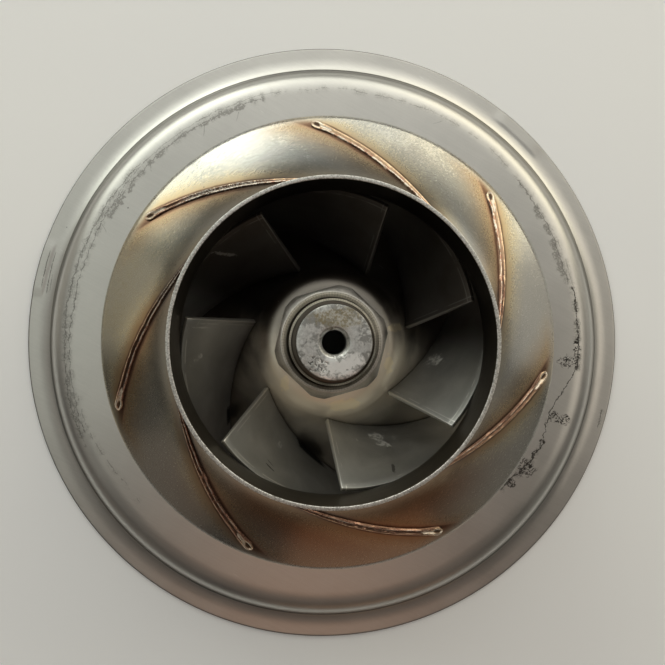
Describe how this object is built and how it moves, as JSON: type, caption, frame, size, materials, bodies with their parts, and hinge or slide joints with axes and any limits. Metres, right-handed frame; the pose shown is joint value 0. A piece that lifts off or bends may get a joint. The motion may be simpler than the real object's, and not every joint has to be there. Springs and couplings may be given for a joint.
{
  "type": "pond pump impeller",
  "caption": "Closed mixed-flow impeller for a pond pump: flanged back plate, curved vanes, flared front shroud with an inlet collar, and a threaded hub with a hex nut.",
  "frame": {"origin": "on the floor under the middle of the back plate, on the impeller's axis", "axes": "+Z along the axis towards the inlet eye; +X and +Y across the back plate, +X to the right and +Y up in the picture"},
  "size_m": [0.165, 0.165, 0.059],
  "materials": {
    "plate_steel": "satin pressed sheet, lightly scuffed",
    "shroud_steel": "satin sheet, straw and brown heat tint beside the welds",
    "collar_steel": "turned, bright rim",
    "vane_steel": "dull grey sheet",
    "weld_metal": "copper coloured oxidised bead",
    "hub_steel": "machined",
    "nose_steel": "faced bright, light residue"
  },
  "bodies": {
    "root": {"back_plate": "plate_steel", "front_shroud": "shroud_steel", "inlet_collar": "collar_steel", "hub_sleeve": "hub_steel", "hub_nut": "hub_steel", "hub_nose": "nose_steel", "vane_1": "vane_steel", "vane_2": "vane_steel", "vane_3": "vane_steel", "vane_4": "vane_steel", "vane_5": "vane_steel", "vane_6": "vane_steel", "vane_7": "vane_steel", "front_weld_1": "weld_metal", "front_weld_2": "weld_metal", "front_weld_3": "weld_metal", "front_weld_4": "weld_metal", "front_weld_5": "weld_metal", "front_weld_6": "weld_metal", "front_weld_7": "weld_metal", "rear_weld_1": "weld_metal", "rear_weld_2": "weld_metal", "rear_weld_3": "weld_metal", "rear_weld_4": "weld_metal", "rear_weld_5": "weld_metal", "rear_weld_6": "weld_metal", "rear_weld_7": "weld_metal"}
  },
  "joints": []
}
